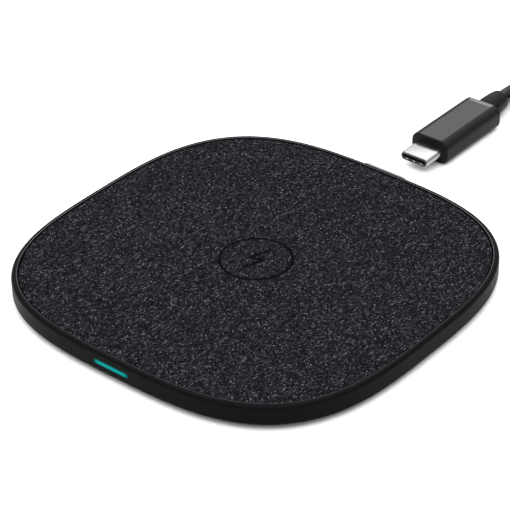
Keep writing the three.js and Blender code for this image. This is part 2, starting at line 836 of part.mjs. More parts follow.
/** A tapered strain relief from y0, where it meets the moulded body, to y1. */
function collar(y0, y1, axis) {
  const r = collarDiameter / 2;
  const length = Math.abs(y1 - y0);
  const tip = cordDiameter / 2 + 0.5;
  const profile = [[0, 0], [r, 0], [r, length * 0.75], [tip, length], [0, length]];
  const turned = spun(profile, 20).rotateX(y1 > y0 ? -Math.PI / 2 : Math.PI / 2);
  return solid(turned.translate(0, y0, axis));
}

function usbCPlug() {
  piece("usb_c_shell", usbCShell(), "steel");
  piece("usb_c_insert", usbCInsert(), "insert");
  const body = mouldedBody(overmouldWidth, overmouldHeight, overmouldRadius, restFace, restRear, portAxis);
  piece("usb_c_overmould", body, "overmould");
  piece("usb_c_collar", collar(restRear, restRear + collarLength, portAxis), "overmould");
}

const coilWidth = coilTurns * cordDiameter;
const ringOuter = coilFirstRadius + cordDiameter / 2;
const ringInner = ringOuter - coilWidth - cordDiameter;
const ringTop = coilLayers * cordDiameter;

function cableCoil() {
  const c = 1;
  const profile = [
    [ringInner + c, 0],
    [ringOuter - c, 0],
    [ringOuter, c],
    [ringOuter, ringTop - c],
    [ringOuter - c, ringTop],
    [ringInner + c, ringTop],
    [ringInner, ringTop - c],
    [ringInner, c],
    [ringInner + c, 0],
  ];
  const half = tieWidth / 2 + seatGap;
  const notch = box(-half, half, ringInner - 2, ringOuter + 2, -1, tieThickness + seatGap);
  return cut(solid(spun(profile, 40)), notch).translate([...coilCentre, 0]);
}

/** The tie: a band round the turns on the coil's far side. */
function cableTie() {
  const width = ringOuter - ringInner + 3 * seatGap;
  const top = ringTop + tieRoom;
  const height = top - tieThickness;
  const middle = [(ringInner + ringOuter) / 2, tieThickness + height / 2];
  const around = 2 * tieThickness;
  const outer = roundedRectangle(width + around, height + around, 1.5, ...middle);
  const inner = roundedRectangle(width, height, 0.8, ...middle);
  const half = tieWidth / 2;
  const band = cut(extrudeAlongX(outer, -half, half), extrudeAlongX(inner, -half - 1, half + 1));
  return band.translate([...coilCentre, 0]);
}

function usbAPlug() {
  const [x, end, axis] = tailPoints.at(-1);
  const collarStart = end - seatGap;
  const bodyRear = collarStart - collarLength;
  const bodyFace = bodyRear - usbABodyLength;
  const tip = bodyFace - usbALength;
  const outer = roundedRectangle(usbAWidth, usbAHeight, 0.4, 0, axis);
  const inner = roundedRectangle(usbAWidth - 2 * usbAWall, usbAHeight - 2 * usbAWall, 0.1, 0, axis);
  const shell = cut(extrudeAlongY(outer, tip, bodyFace), extrudeAlongY(inner, tip - 1, bodyFace + 1));
  const slack = 0.05;
  const halfWidth = usbAWidth / 2 - usbAWall - slack;
  const floor = axis - usbAHeight / 2 + usbAWall + slack;
  const tongueTop = axis - 0.25;
  const tongue = join(
    box(-halfWidth, halfWidth, tip + 0.4, bodyFace, floor, tongueTop),
    box(-halfWidth, halfWidth, bodyFace - 2.5, bodyFace, floor, axis + usbAHeight / 2 - usbAWall - slack),
  );
  const body = mouldedBody(usbABodyWidth, usbABodyHeight, usbABodyRadius, bodyFace, bodyRear, axis);
  const pieces = {
    usb_a_shell: [shell, "steel"],
    usb_a_insulator: [tongue, "insulator"],
    usb_a_overmould: [body, "overmould"],
    usb_a_collar: [collar(bodyRear, collarStart, axis), "overmould"],
  };
  for (const [name, [solidBody, look]] of Object.entries(pieces)) {
    piece(name, solidBody.translate([x, 0, 0]), look);
  }
}

function cord() {
  piece("cable_lead", tube(leadPoints, cordDiameter, cordSides, 14), "cordJacket");
  piece("cable_coil", cableCoil(), "cordJacket");
  piece("cable_tail", tube(tailPoints, cordDiameter, cordSides, 12), "cordJacket");
  piece("cable_tie", cableTie(), "silicone");
}

housing();
coilAssembly();
mainElectronics();
port();
light();
usbCPlug();
cord();
usbAPlug();

export default part;
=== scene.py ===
"""A cloth-topped wireless charging pad with its USB-C cable, dressed for rendering.

Lengths are in metres."""

import json
import math

import bmesh
import bpy
from mathutils import Matrix, Vector


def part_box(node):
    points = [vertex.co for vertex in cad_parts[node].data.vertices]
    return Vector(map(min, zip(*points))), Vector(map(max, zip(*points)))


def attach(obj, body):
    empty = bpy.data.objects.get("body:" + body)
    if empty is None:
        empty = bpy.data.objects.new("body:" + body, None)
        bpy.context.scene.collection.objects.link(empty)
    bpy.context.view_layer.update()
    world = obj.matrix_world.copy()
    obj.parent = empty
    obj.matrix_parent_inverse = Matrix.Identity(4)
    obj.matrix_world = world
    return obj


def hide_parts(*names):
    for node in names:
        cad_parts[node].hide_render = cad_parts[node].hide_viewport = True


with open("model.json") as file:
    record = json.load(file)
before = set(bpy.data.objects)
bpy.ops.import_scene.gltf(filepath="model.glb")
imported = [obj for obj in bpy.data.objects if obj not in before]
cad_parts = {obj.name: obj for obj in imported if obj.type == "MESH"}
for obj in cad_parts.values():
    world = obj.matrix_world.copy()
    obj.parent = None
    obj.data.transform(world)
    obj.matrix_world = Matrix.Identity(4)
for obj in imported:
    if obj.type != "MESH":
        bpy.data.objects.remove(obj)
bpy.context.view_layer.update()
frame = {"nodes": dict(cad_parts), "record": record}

MM = 0.001
TAU = 2 * math.pi
QUARTER = math.pi / 2

# ---------------------------------------------------------------- places taken from the frame

rim_low, rim_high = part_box("rim_frame")
fabric_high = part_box("fabric_cover")[1]
plate_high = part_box("top_plate")[1]
bezel_low, bezel_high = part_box("port_bezel")
guide_low, guide_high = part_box("led_light_guide")
plug_low, plug_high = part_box("usb_c_shell")
body_low, body_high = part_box("usb_c_overmould")
collar_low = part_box("usb_c_collar")[0]
tie_low, tie_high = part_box("cable_tie")
ring_low, ring_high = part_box("cable_coil")
usb_a_low, usb_a_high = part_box("usb_a_shell")
usb_a_body_low, usb_a_body_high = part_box("usb_a_overmould")
usb_a_collar_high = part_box("usb_a_collar")[1]

PAD_HALF = rim_high.x
PAD_TOP = rim_high.z
RIM_BOTTOM = rim_low.z
FABRIC_TOP = fabric_high.z
PLUG_AXIS = (plug_low.z + plug_high.z) / 2
SQUARENESS = 3.135  # exponent of the superellipse that outlines the pad
BAR_WIDTH, BAR_HEIGHT = 10.2 * MM, 1.3 * MM
BAR_AXIS = guide_high.z - 0.75 * MM

# ---------------------------------------------------------------- camera and light


def camera():
    """Looks over the pad's front right corner, from half a metre away."""
    azimuth, elevation, roll = math.radians(39.93), math.radians(33.60), math.radians(-1.06)
    distance = 0.5
    back = Vector(
        (
            math.sin(azimuth) * math.cos(elevation),
            -math.cos(azimuth) * math.cos(elevation),
            math.sin(elevation),
        )
    )
    right = Vector((math.cos(azimuth), math.sin(azimuth), 0))
    up = back.cross(right)
    right, up = (
        right * math.cos(roll) + up * math.sin(roll),
        up * math.cos(roll) - right * math.sin(roll),
    )
    aside, above, height = -0.34, 4.6, 1.6 * MM  # where it looks, from the middle of the pad's underside
    target = right * aside * MM + up * above * MM + Vector((0, 0, height))
    data = bpy.data.cameras.new("camera")
    data.lens = 151.55
    data.sensor_width = 36
    data.clip_start, data.clip_end = 0.02, 20
    made = bpy.data.objects.new("camera", data)
    bpy.context.scene.collection.objects.link(made)
    made.matrix_world = Matrix((right, up, back)).transposed().to_4x4()
    made.location = target + back * distance
    bpy.context.scene.camera = made


camera()

# ---------------------------------------------------------------- meshes


def finished(name, bm, smooth=35):
    """The bmesh as an object at the origin, shaded smooth up to an angle in degrees."""
    bmesh.ops.remove_doubles(bm, verts=bm.verts, dist=1e-7)
    bmesh.ops.recalc_face_normals(bm, faces=bm.faces)
    mesh = bpy.data.meshes.new(name)
    bm.to_mesh(mesh)
    bm.free()
    mesh.polygons.foreach_set("use_smooth", [True] * len(mesh.polygons))
    mesh.set_sharp_from_angle(angle=math.radians(smooth))
    made = bpy.data.objects.new(name, mesh)
    bpy.context.scene.collection.objects.link(made)
    return made


def skin(levels, put, segments, closed=False):
    """A bmesh skin drawn through level after level, where put(angle, level) gives a point. A closed
    skin comes back to its first level, and an open one gets flat caps."""
    bm = bmesh.new()
    bmesh.ops.create_circle(bm, cap_ends=False, radius=1, segments=segments)
    turn = bm.verts.layers.int.new("turn")
    for v in bm.verts:
        v[turn] = round(math.atan2(v.co.y, v.co.x) / TAU * segments)

    def place(verts, level):
        for v in verts:
            v.co = put(TAU * (v[turn] + 0.5) / segments, level)

    place(bm.verts, levels[0])
    edges = bm.edges[:]
    ends = [edges]
    for level in [*levels[1:], levels[0]] if closed else levels[1:]:
        grown = bmesh.ops.extrude_edge_only(bm, edges=edges)["geom"]
        verts = {g for g in grown if isinstance(g, bmesh.types.BMVert)}
        edges = [g for g in grown if isinstance(g, bmesh.types.BMEdge) and set(g.verts) <= verts]
        place(verts, level)
    ends.append(edges)
    if not closed:
        for end in ends:
            bmesh.ops.contextual_create(bm, geom=end)
    return bm


def powers(angle):
    """The sum of powers that a superellipse's radius depends on, at an angle."""
    return abs(math.cos(angle)) ** SQUARENESS + abs(math.sin(angle)) ** SQUARENESS


def around_pad(angle, level):
    """A point on the pad's outline, for a level of (inset, height)."""
    inset, z = level
    r = (PAD_HALF - inset) * powers(angle) ** (-1 / SQUARENESS)
    return Vector((r * math.cos(angle), r * math.sin(angle), z))


def along_y(cx, cz):
    """A put() for rounded rectangles stood across the Y axis: a level is (width, height, radius, y)."""

    def put(angle, level):
        width, height, radius, y = level
        c, s = math.cos(angle), math.sin(angle)
        x = radius * c + math.copysign(width / 2 - radius, c)
        z = radius * s + math.copysign(height / 2 - radius, s)
        return Vector((cx + x, y, cz + z))

    return put


def bend(centre, radius, start, end, steps):
    """Points round an arc in a section, from one angle to another in quarter turns."""
    cx, cy = centre
    rx, ry = radius if isinstance(radius, tuple) else (radius, radius)
    angles = [QUARTER * (start + (end - start) * i / steps) for i in range(steps + 1)]
    return [(cx + rx * math.cos(a), cy + ry * math.sin(a)) for a in angles]


def block(bm, size, centre):
    """Adds a small box to a bmesh."""
    made = bmesh.ops.create_cube(bm, size=1)["verts"]
    bmesh.ops.scale(bm, verts=made, vec=size)
    bmesh.ops.translate(bm, verts=made, vec=centre)


def soft_ends(width, height, radius, y0, y1, soft, steps=4):
    """Levels of a bar along Y whose two ends are rounded over by soft."""
    levels = []
    for i in range(steps + 1):
        a = QUARTER * i / steps
        shrink = soft * (1 - math.sin(a))
        levels.append((shrink, y0 + soft * (1 - math.cos(a))))
    levels += [(shrink, y0 + y1 - y) for shrink, y in reversed(levels)]
    return [(width - 2 * s, height - 2 * s, max(radius - s, 0.05 * MM), y) for s, y in levels]


def cut_away(target, *tools):
    """Takes the tools out of the target for good."""
    for tool in tools:
        modifier = target.modifiers.new("cut", "BOOLEAN")
        modifier.operation = "DIFFERENCE"
        modifier.solver = "EXACT"
        modifier.object = tool
        with bpy.context.temp_override(object=target, active_object=target):
            bpy.ops.object.modifier_apply(modifier=modifier.name)
    for tool in tools:
        bpy.data.objects.remove(tool)
    target.data.set_sharp_from_angle(angle=math.radians(30))


def dress(piece, body, slot, material, *replaced):
    """Puts a piece on its body in its finish, in place of the CAD nodes that it stands for."""
    piece.data.materials.clear()
    piece.data.materials.append(material)
    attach(piece, body)
    if replaced:
        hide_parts(*replaced)
    return piece


# ---------------------------------------------------------------- shader expressions


class Value:
    """A socket of a material being made. Arithmetic on it adds Math nodes."""

    def __init__(self, look, socket):
        self.look = look
        self.socket = socket

    def math(self, operation, *others):
        return self.look.node("ShaderNodeMath", {"operation": operation}, dict(enumerate((self, *others))))

    def __add__(self, other):
        return self.math("ADD", other)

    def __sub__(self, other):
        return self.math("SUBTRACT", other)

    def __rsub__(self, other):
        return self.look.node("ShaderNodeMath", {"operation": "SUBTRACT"}, {0: other, 1: self})

    def __mul__(self, other):
        return self.math("MULTIPLY", other)

    def __truediv__(self, other):
        return self.math("DIVIDE", other)

    def __pow__(self, other):
        return self.math("POWER", other)

    __radd__ = __add__
    __rmul__ = __mul__

    def floor(self):
        return self.math("FLOOR")

    def fract(self):
        return self.math("FRACT")

    def abs(self):
        return self.math("ABSOLUTE")

    def sqrt(self):
        return self.math("SQRT")

    def step(self, low, high):
        """Eases from 0 at low to 1 at high."""
        sockets = {"Value": self, "From Min": low, "From Max": high, "To Min": 0.0, "To Max": 1.0}
        return self.look.node("ShaderNodeMapRange", {"interpolation_type": "SMOOTHSTEP"}, sockets)


class Look:
    """A material being made, or the world."""

    def __init__(self, name, owner=None):
        self.owner = owner or bpy.data.materials.new(name)
        self.owner.use_nodes = True
        self.tree = self.owner.node_tree
        self.tree.nodes.clear()

    def node(self, kind, settings, sockets, out=0):
        """Adds a node, sets it, then gives its sockets their values or links."""
        made = self.tree.nodes.new(kind)
        for name, value in settings.items():
            if name == "stops":
                self.stops(made.color_ramp, value)
            else:
                setattr(made, name, value)
        for name, value in sockets.items():
            if isinstance(value, Value):
                self.tree.links.new(value.socket, made.inputs[name])
            else:
                made.inputs[name].default_value = value
        return Value(self, made.outputs[out]) if len(made.outputs) else made

    def stops(self, ramp, stops):
        while len(ramp.elements) < len(stops):
            ramp.elements.new(0.5)
        for element, (position, colour) in zip(ramp.elements, stops):
            element.position = position
            element.color = colour

    def place(self):
        """The point on the piece, as (vector, x, y, z) in metres."""
        point = self.node("ShaderNodeTexCoord", {}, {}, "Object")
        parts = [self.node("ShaderNodeSeparateXYZ", {}, {"Vector": point}, axis) for axis in "XYZ"]
        return point, *parts

    def vector(self, x, y, z=0.0):
        return self.node("ShaderNodeCombineXYZ", {}, {"X": x, "Y": y, "Z": z})

    def noise(self, vector, scale, detail=2.0, roughness=0.5):
        sockets = {"Vector": vector, "Scale": scale, "Detail": detail, "Roughness": roughness}
        return self.node("ShaderNodeTexNoise", {}, sockets, 0)

    def attribute(self, name):
        return self.node("ShaderNodeAttribute", {"attribute_name": name}, {}, "Fac")

    def grit(self, vector):
        """A different number from 0 to 1 for each whole-numbered point."""
        return self.node("ShaderNodeTexWhiteNoise", {"noise_dimensions": "3D"}, {"Vector": vector}, "Value")

    def ramp(self, factor, *stops):
        named = [(position, (*colour, 1)) for position, colour in stops]
        return self.node("ShaderNodeValToRGB", {"stops": named}, {"Fac": factor}, "Color")

    def blend(self, factor, a, b):
        sockets = {0: factor, 6: self.colour(a), 7: self.colour(b)}
        return self.node("ShaderNodeMix", {"data_type": "RGBA"}, sockets, 2)

    def colour(self, value):
        return value if isinstance(value, Value) else (*value, 1)

    def bump(self, height, depth, strength=1.0):
        return self.node("ShaderNodeBump", {}, {"Height": height, "Distance": depth, "Strength": strength})

    def surface(self, **sockets):
        """The Principled shader, whose sockets are named with underscores for spaces."""
        named = {}
        for name, value in sockets.items():
            title = " ".join(word.capitalize() for word in name.split("_")).replace("Ior", "IOR")
            named[title] = self.colour(value) if isinstance(value, tuple) else value
        return self.node("ShaderNodeBsdfPrincipled", {}, named, "BSDF")

    def done(self, shader, output="ShaderNodeOutputMaterial"):
        self.node(output, {}, {"Surface": shader})
        return self.owner


# ---------------------------------------------------------------- finishes


def moulded(name, colour, roughness, grain=0.02, pitch=0.35, shift=0.18, **more):
    """Moulded plastic or rubber: a fine grain, and colour and gloss that drift a little over the piece."""
    look = Look(name)
    point = look.place()[0]
    drift = look.noise(point, 60, 3)
    fine = look.noise(point, 1 / (pitch * MM), 3, 0.6)
    low = tuple(c * (1 - shift) for c in colour)
    high = tuple(c * (1 + shift) for c in colour)
    base = look.ramp(drift * 0.6 + fine * 0.4, (0.3, low), (0.7, high))
    gloss = (roughness - 0.05) + drift * 0.07 + fine * 0.05
    normal = look.bump(fine, grain * MM)
    return look.done(look.surface(base_color=base, roughness=gloss, normal=normal, **more))


def satin_rim(name):
    """Satin black moulding, with a painted highlight along the fine edge that frames the cloth."""
    look = Look(name)
    point = look.place()[0]
    painted_lip_highlight = look.attribute("lip")
    drift = look.noise(point, 45, 3)
    fine = look.noise(point, 8000, 3, 0.6)
    # Where the lip attribute is set, the colour rises to a pale grey: a painted highlight on the lip.
    base = look.ramp(
        (drift * 0.5 + fine * 0.2) * (1 - painted_lip_highlight) + painted_lip_highlight * (0.7 + drift * 0.4),
        (0.15, (0.0020, 0.0021, 0.0025)),
        (0.55, (0.0034, 0.0035, 0.0041)),
        (1.0, (0.080, 0.081, 0.087)),
    )
    gloss = 0.36 + drift * 0.08 + fine * 0.05
    normal = look.bump(fine, 0.003 * MM)
    return look.done(look.surface(base_color=base, roughness=gloss, specular_ior_level=0.03, normal=normal))


def plug_skin(name):
    """Black satin moulding with painted light: its flat faces are painted grey where light falls on them,
    and the rear bevel is painted lighter still, a painted reflection.
    """
    look = Look(name)
    point = look.place()[0]
    facet = look.attribute("facet")
    drift = look.noise(point, 160, 3)
    fine = look.noise(point, 9000, 2, 0.6)
    painted_light_on_flats = facet.step(0.25, 0.75)
    # The rear bevel's painted reflection.
    painted_bevel_reflection = facet.step(1.25, 1.75)
    shade = 0.8 + drift * 0.25 + fine * 0.15
    # Painted light in the colour: grey on the flat faces (facet 1), and lighter on the rear bevel (facet 2),
    # a painted reflection. Drift and fine vary it at random.
    base = look.ramp(
        (painted_light_on_flats * 0.5 + painted_bevel_reflection * 0.5) * shade,
        (0.0, (0.0075, 0.0075, 0.0078)),
        (0.5, (0.054, 0.054, 0.055)),
        (1.0, (0.140, 0.140, 0.142)),
    )
    gloss = 0.36 + painted_light_on_flats * 0.16 + fine * 0.06
    normal = look.bump(fine, 0.006 * MM)
    return look.done(look.surface(base_color=base, roughness=gloss, specular_ior_level=0.08, normal=normal))


def metal(name, colour, roughness, streak, grain=0.004):
    """Plated sheet metal, brushed along Y where streak is high."""
    look = Look(name)
    point, x, y, z = look.place()
    brushed = look.noise(look.vector(x * 9000, y * 600, z * 9000), 1.0, 2)
    cloud = look.noise(point, 260, 3)
    low = tuple(c * 0.86 for c in colour)
    base = look.ramp(brushed * streak + cloud * (1 - streak), (0.25, low), (0.75, colour))
    gloss = roughness - 0.05 + brushed * 0.08 + cloud * 0.05
    normal = look.bump(brushed, grain * MM)
    return look.done(look.surface(base_color=base, roughness=gloss, metallic=1.0, normal=normal))


def linen(name):
    """Charcoal linen: a plain weave of uneven threads, flecked with pale fibres and streaked with slubs.
    Where the symbol is pressed in, the cloth is smoother, and painted shade darkens the dent."""
    look = Look(name)
    point, x, y, _ = look.place()
    wander = look.noise(point, 260, 2)
    thread, stitch = 0.38 * MM, 0.60 * MM
    u = x / thread + wander * 0.8
    column = u.floor()
    v = y / stitch + wander * 0.5 + column * 0.5
    row = v.floor()
    knot = (1 - (u.fract() * 2 - 1).abs() ** 2.5) * (1 - (v.fract() * 2 - 1).abs() ** 2.5)
    chance = look.grit(look.vector(column, row, 1.0))
    fleck = look.grit(look.vector(column, row, 9.0)) ** 5
    slub = look.noise(look.vector(u * 0.7, v * 0.10, 3.0), 1.0, 2).step(0.48, 0.75)
    weft = look.noise(look.vector(u * 0.08, v * 0.9, 7.0), 1.0, 2).step(0.5, 0.85)
    fuzz = look.noise(point, 3800, 2, 0.6)
    bright = 0.04 + 0.46 * chance * chance + 0.50 * fleck + 0.34 * slub * chance + 0.10 * weft
    shade = knot * bright + fuzz * 0.22 - 0.03
    pressed = look.attribute("pressed")
    # Painted shade: the colour is darkened where the symbol is pressed in.
    base = look.ramp(
        shade * (1 - pressed * 0.95),
        (0.0, (0.0019, 0.0020, 0.0023)),
        (0.12, (0.0038, 0.0039, 0.0046)),
        (0.45, (0.0225, 0.0231, 0.0265)),
        (0.95, (0.120, 0.123, 0.135)),
    )
    relief = (knot * 0.7 + fuzz * 0.5) * (1 - pressed * 0.8)
    normal = look.bump(relief, 0.12 * MM, 0.7)
    shader = look.surface(
        base_color=base,
        roughness=0.92,
        specular_ior_level=0.015,
        normal=normal,
    )
    return look.done(shader)


def lit_bar(name):
    """Translucent teal plastic lit from behind, fading towards its edges."""
    look = Look(name)
    point, x, _, z = look.place()
    along = 1 - (x / (BAR_WIDTH / 2)).abs().step(0.72, 1.0)
    across = 1 - ((z - BAR_AXIS) / (BAR_HEIGHT / 2)).abs().step(0.35, 1.0)
    haze = look.noise(point, 900, 2)
    glow = look.ramp(
        along * across * 0.9 + haze * 0.1,
        (0.0, (0.0, 0.020, 0.021)),
        (0.5, (0.0, 0.17, 0.165)),
        (1.0, (0.0, 0.345, 0.33)),
    )
    shader = look.surface(
        base_color=(0.0, 0.020, 0.019),
        roughness=0.30 + haze * 0.1,
        specular_ior_level=0.02,
        emission_color=glow,
        emission_strength=0.95,
    )
    return look.done(shader)


def solder_mask(name):
    """Green lacquer over copper tracks that run in blocks along the board."""
    look = Look(name)
    point, x, y, _ = look.place()
    track = 0.6 * MM
    lane = (x / track + (y / (7 * track)).floor() * 0.5).fract()
    copper = (lane - 0.5).abs().step(0.16, 0.2)
    cloud = look.noise(point, 180, 2)
    base = look.blend(copper, (0.006, 0.05, 0.02), (0.014, 0.10, 0.042))
    gloss = 0.35 + cloud * 0.12
    normal = look.bump(copper, 0.03 * MM)
    return look.done(look.surface(base_color=base, roughness=gloss, normal=normal))


def litz(name):
    """Enamelled copper wound in turns round the Z axis."""
    look = Look(name)
    _, x, y, _ = look.place()
    radius = (x * x + y * y).sqrt()
    pitch = 1.1 * MM
    turn = (radius / pitch).fract()
    wire = 1 - (turn * 2 - 1).abs() ** 2.0
    strand = look.noise(look.vector(radius * 9000, x * 500, y * 500), 1.0, 2)
    base = look.ramp(wire * 0.6 + strand * 0.4, (0.1, (0.16, 0.05, 0.02)), (0.8, (0.72, 0.30, 0.11)))
    normal = look.bump(wire + strand * 0.3, 0.25 * MM)
    gloss = 0.3 + strand * 0.15
    return look.done(look.surface(base_color=base, roughness=gloss, metallic=0.85, normal=normal))


def made_finishes():
    """One finish for each of the record's material slots."""
    return {
        "fabric": linen("linen"),
        "rim_plastic": satin_rim("satin_black"),
        "base_plastic": moulded(
            "matt_black",
            (0.0035, 0.0035, 0.004),
            0.62, grain=0.02, pitch=0.3, specular_ior_level=0.06,
        ),
        "inner_plastic": moulded("inner_black", (0.022, 0.022, 0.024), 0.55),
        "silicone": moulded("silicone", (0.022, 0.022, 0.024), 0.78, grain=0.012, pitch=0.5),
        "diffuser": lit_bar("lit_teal"),
        "led": moulded("phosphor", (0.78, 0.72, 0.42), 0.4, grain=0.005, pitch=0.2, shift=0.1),
        "board": solder_mask("solder_mask"),
        "chip": moulded("epoxy", (0.012, 0.012, 0.013), 0.45, grain=0.01, pitch=0.15),
        "ceramic": moulded("ceramic", (0.36, 0.26, 0.16), 0.5, grain=0.006, pitch=0.2),
        "ferrite": moulded("ferrite", (0.034, 0.035, 0.039), 0.7, grain=0.02, pitch=0.25, shift=0.3),
        "copper": litz("litz_copper"),
        "steel": metal("nickel", (0.35, 0.35, 0.348), 0.2, streak=0.55),
        "black_steel": metal("black_zinc", (0.05, 0.05, 0.052), 0.35, streak=0.3),
        "bezel": moulded("grey_satin", (0.20, 0.205, 0.21), 0.38, grain=0.004, pitch=0.15),
        "wire": moulded("red_insulation", (0.34, 0.014, 0.014), 0.42, grain=0.01, pitch=0.4),
        "overmould": plug_skin("painted_light_black"),
        "cord_jacket": moulded(
            "cord_jacket",
            (0.0016, 0.0019, 0.0042),
            0.13, grain=0.003, pitch=0.5, specular_ior_level=0.2,
        ),
        "tie": moulded("tie_strap", (0.012, 0.012, 0.013), 0.7, grain=0.03, pitch=0.4),
        "insert": moulded("insert_black", (0.006, 0.006, 0.0065), 0.5, grain=0.005, pitch=0.2),
        "insulator": moulded(
            "white_insulator",
            (0.78, 0.78, 0.75),
            0.45, grain=0.005, pitch=0.2, shift=0.05,
        ),
        "contact": metal("gold_contact", (0.95, 0.72, 0.35), 0.2, streak=0.4),
    }


finishes = made_finishes()


def dress_frame():
    """Gives every CAD node the finish of its slot."""
    for entry in frame["record"]["subparts"]:
        node = frame["nodes"][entry["node"]]
        node.data.materials.clear()
        node.data.materials.append(finishes[entry["material_slot"]])


dress_frame()

# ---------------------------------------------------------------- cord

CORD = 4 * MM
COIL_CENTRE = Vector(((ring_low.x + ring_high.x) / 2, (ring_low.y + ring_high.y) / 2, 0))
COIL_FIRST = ring_high.x - COIL_CENTRE.x - CORD / 2
TIE_RISE = 0.9 * MM

# The same route as the CAD cord's: from the USB-C collar to the coil, and from the coil to the USB-A collar.
LEAD = [
    (0, 0.1014, 0.00325),
    (0, 0.1040, 0.0032),
    (-0.0002, 0.1070, 0.0029),
    (-0.0006, 0.1110, 0.00235),
    (-0.0010, 0.1150, 0.00205),
    (-0.0012, 0.1190, 0.0020),
    (-0.0010, 0.1230, 0.0020),
    (-0.0004, 0.1270, 0.0020),
    (0.0005, 0.1310, 0.0020),
    (0.0014, 0.1350, 0.0020),
    (0.0021, 0.1390, 0.0020),
    (0.0026, 0.1430, 0.0020),
    (0.0029, 0.1475, 0.0020),
]
TAIL = [
    (0.0610, 0.1460, 0.0060),
    (0.0610, 0.1420, 0.0057),
    (0.0610, 0.1390, 0.0050),
    (0.0610, 0.1350, 0.0038),
    (0.0610, 0.1318, 0.00295),
    (0.0610, 0.1270, 0.0023),
    (0.0610, 0.1230, 0.00205),
    (0.0610, 0.1170, 0.00202),
    (0.0610, 0.1120, 0.0022),
    (0.0610, 0.1080, 0.0028),
    (0.0610, 0.1045, 0.0035),
    (0.0610, 0.1020, 0.0038),
    (0.0610, 0.1000, 0.0038),
]


def tie_hump(angle):
    """How much the turns rise where they cross the tie, on the coil's far side."""
    away = (angle - QUARTER) % TAU
    away = min(away, TAU - away) * COIL_FIRST
    reach = 9 * MM
    return TIE_RISE * 0.5 * (1 + math.cos(math.pi * min(1, away / reach)))


def coil_turns():
    """Three turns inwards on the table, then two and a half outwards on top of them, clockwise."""
    points = []
    inward, outward, steps = 3.0, 2.5, 48
    climb = 0.22  # turns taken to rise from the lower layer to the upper
    for i in range(int((inward + outward) * steps) + 1):
        turns = i / steps
        if turns <= inward:
            radius = COIL_FIRST - CORD * turns
            level = 0.0
        else:
            radius = COIL_FIRST - CORD * inward + CORD * (turns - inward)
            t = min(1, (turns - inward) / climb)
            level = t * t * (3 - 2 * t)
        angle = TAU * turns
        x = COIL_CENTRE.x - radius * math.cos(angle)
        y = COIL_CENTRE.y + radius * math.sin(angle)
        points.append(Vector((x, y, CORD / 2 + level * CORD + tie_hump(angle))))
    return points


def smooth_line(points, step):
    """Points about a step apart on a smooth curve through the given ones."""
    points = [Vector(p) for p in points]
    padded = [2 * points[0] - points[1], *points, 2 * points[-1] - points[-2]]
    line = []
    for a, b, c, d in zip(padded, padded[1:], padded[2:], padded[3:]):
        count = max(1, round((c - b).length / step))
        for i in range(count):
            t = i / count
            line.append(
                0.5
                * (
                    2 * b
                    + (c - a) * t
                    + (2 * a - 5 * b + 4 * c - d) * t * t
                    + (3 * b - a - 3 * c + d) * t * t * t
                )
            )
    return [*line, points[-1]]


def length_of(line):
    return sum((b - a).length for a, b in zip(line, line[1:]))


def cable():
    """The whole cord as one curve: lead, coil and tail."""
    into = Vector((0, -0.9 * MM, 0))  # both ends run this far into their sleeves
    route = [Vector(LEAD[0]) + into, *LEAD, *coil_turns(), *TAIL, Vector(TAIL[-1]) + into]
    line = smooth_line(route, 1.5 * MM)
    data = bpy.data.curves.new("charging_cord", "CURVE")
    data.dimensions = "3D"
    spline = data.splines.new("POLY")
    spline.points.add(len(line) - 1)
    for point, at in zip(spline.points, line):
        point.co = (*at, 1)
    data.bevel_depth = CORD / 2
    data.bevel_resolution = 6
    data.use_fill_caps = True
    spline.use_smooth = True
    made = bpy.data.objects.new("charging_cord", data)
    bpy.context.scene.collection.objects.link(made)
    dress(made, "cable", "cord_jacket", finishes["cord_jacket"], "cable_lead", "cable_coil", "cable_tail")
    return made, length_of(line)


cord, cord_length = cable()


def tie():
    """A soft strap drawn tight round the turns. The upper turns lie half a diameter further in."""
    first = COIL_CENTRE.y + COIL_FIRST
    low, high = CORD * 0.5 + TIE_RISE, CORD * 1.5 + TIE_RISE
    spare = 0.15 * MM
    # The middles of the outermost and innermost turns of each layer, where they cross the tie.
    corners = (
        (first - CORD * 0.25, low),
        (first - CORD * 0.75, high),
        (first - CORD * 2.75 - spare, high),
        (first - CORD * 2.25 - spare, low),
    )
    half = (tie_high.x - tie_low.x) / 2
    thick = 0.7 * MM

    def put(angle, level):
        inside, x = level
        c, s = math.cos(angle), math.sin(angle)
        y, z = max(corners, key=lambda corner: corner[0] * c + corner[1] * s)
        radius = CORD / 2 + spare + thick - inside
        return Vector((COIL_CENTRE.x + x, y + radius * c, z + radius * s))

    edge = 0.2 * MM
    levels = [
        (0, -half + edge),
        (0, half - edge),
        (edge, half),
        (thick - edge, half),
        (thick, half - edge),
        (thick, -half + edge),
        (thick - edge, -half),
        (edge, -half),
    ]
    strap = finished("cable_tie_strap", skin(levels, put, 48, closed=True))
    return dress(strap, "cable", "tie", finishes["tie"], "cable_tie")


tie()

# ---------------------------------------------------------------- pad


